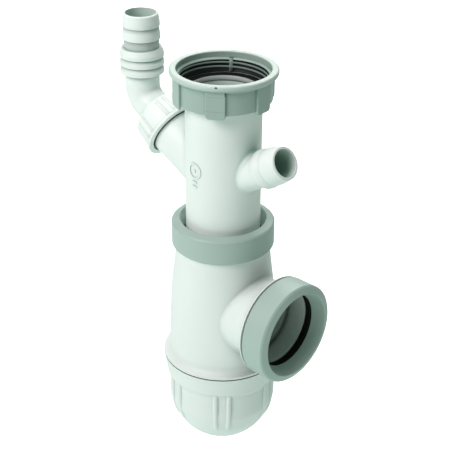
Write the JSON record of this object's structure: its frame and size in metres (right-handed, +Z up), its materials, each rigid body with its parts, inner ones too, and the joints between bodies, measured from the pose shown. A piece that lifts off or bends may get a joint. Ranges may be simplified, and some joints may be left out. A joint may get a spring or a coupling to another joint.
{
  "type": "sink bottle trap",
  "caption": "Bottle trap for a sink: riser with coupling nut, hose elbow and side nozzle, bell body with side outlet, and a round screw cap for cleaning.",
  "frame": {"origin": "centre of the inlet washer's top face, on the riser's axis, where the sink's waste seats", "axes": "+Z up along the riser, out of the waste inlet; +X along the outlet, away from the body; -Y the side with the moulded mark"},
  "size_m": [0.1276, 0.066, 0.2405],
  "materials": {
    "white_plastic": "satin moulded polypropylene",
    "grey_plastic": "satin moulded polypropylene",
    "grey_collar": "satin moulded polypropylene",
    "seal_rubber": "matt black rubber"
  },
  "bodies": {
    "riser": {"riser_tube": "white_plastic", "inlet_washer": "seal_rubber"},
    "inlet_nut": {"coupling_nut": "grey_plastic"},
    "seal_carrier": {"riser_lip_seal": "seal_rubber"},
    "bottle": {"bottle_body": "white_plastic", "bottle_collar": "grey_collar", "outlet_collar": "grey_collar", "outlet_lip_seal": "seal_rubber"},
    "cap_carrier": {"cap_gasket": "seal_rubber"},
    "cap": {"cleaning_cap": "white_plastic"},
    "union_carrier": {"union_gasket": "seal_rubber"},
    "union_ring": {"union_nut": "white_plastic"},
    "elbow": {"hose_elbow": "white_plastic"}
  },
  "joints": [
    {"name": "nut_turn", "type": "hinge", "parent": "riser", "child": "inlet_nut", "pos_m": [0, 0, 0], "axis": [0, 0, 1], "continuous": true},
    {"name": "bottle_slide", "type": "slide", "parent": "riser", "child": "seal_carrier", "axis": [0, 0, 1], "range_m": [-0.03, 0.008]},
    {"name": "bottle_turn", "type": "hinge", "parent": "seal_carrier", "child": "bottle", "pos_m": [0, 0, -0.085], "axis": [0, 0, 1], "continuous": true},
    {"name": "cap_travel", "type": "slide", "parent": "bottle", "child": "cap_carrier", "axis": [0, 0, -1], "range_m": [0, 0.01]},
    {"name": "cap_turn", "type": "hinge", "parent": "cap_carrier", "child": "cap", "pos_m": [0, 0, -0.165], "axis": [0, 0, -1], "range_deg": [0, 900]},
    {"name": "union_travel", "type": "slide", "parent": "riser", "child": "union_carrier", "axis": [-0.8829, 0, 0.4695], "range_m": [0, 0.006]},
    {"name": "union_turn", "type": "hinge", "parent": "union_carrier", "child": "union_ring", "pos_m": [-0.0415, 0, -0.03094], "axis": [-0.8829, 0, 0.4695], "range_deg": [0, 720]},
    {"name": "elbow_swivel", "type": "hinge", "parent": "union_carrier", "child": "elbow", "pos_m": [-0.04591, 0, -0.02859], "axis": [-0.8829, 0, 0.4695], "continuous": true}
  ],
  "couplings": [
    {"joint": "cap_travel", "follows": "cap_turn", "m_per_rad": 0.00063662},
    {"joint": "union_travel", "follows": "union_turn", "m_per_rad": 0.00047746}
  ]
}
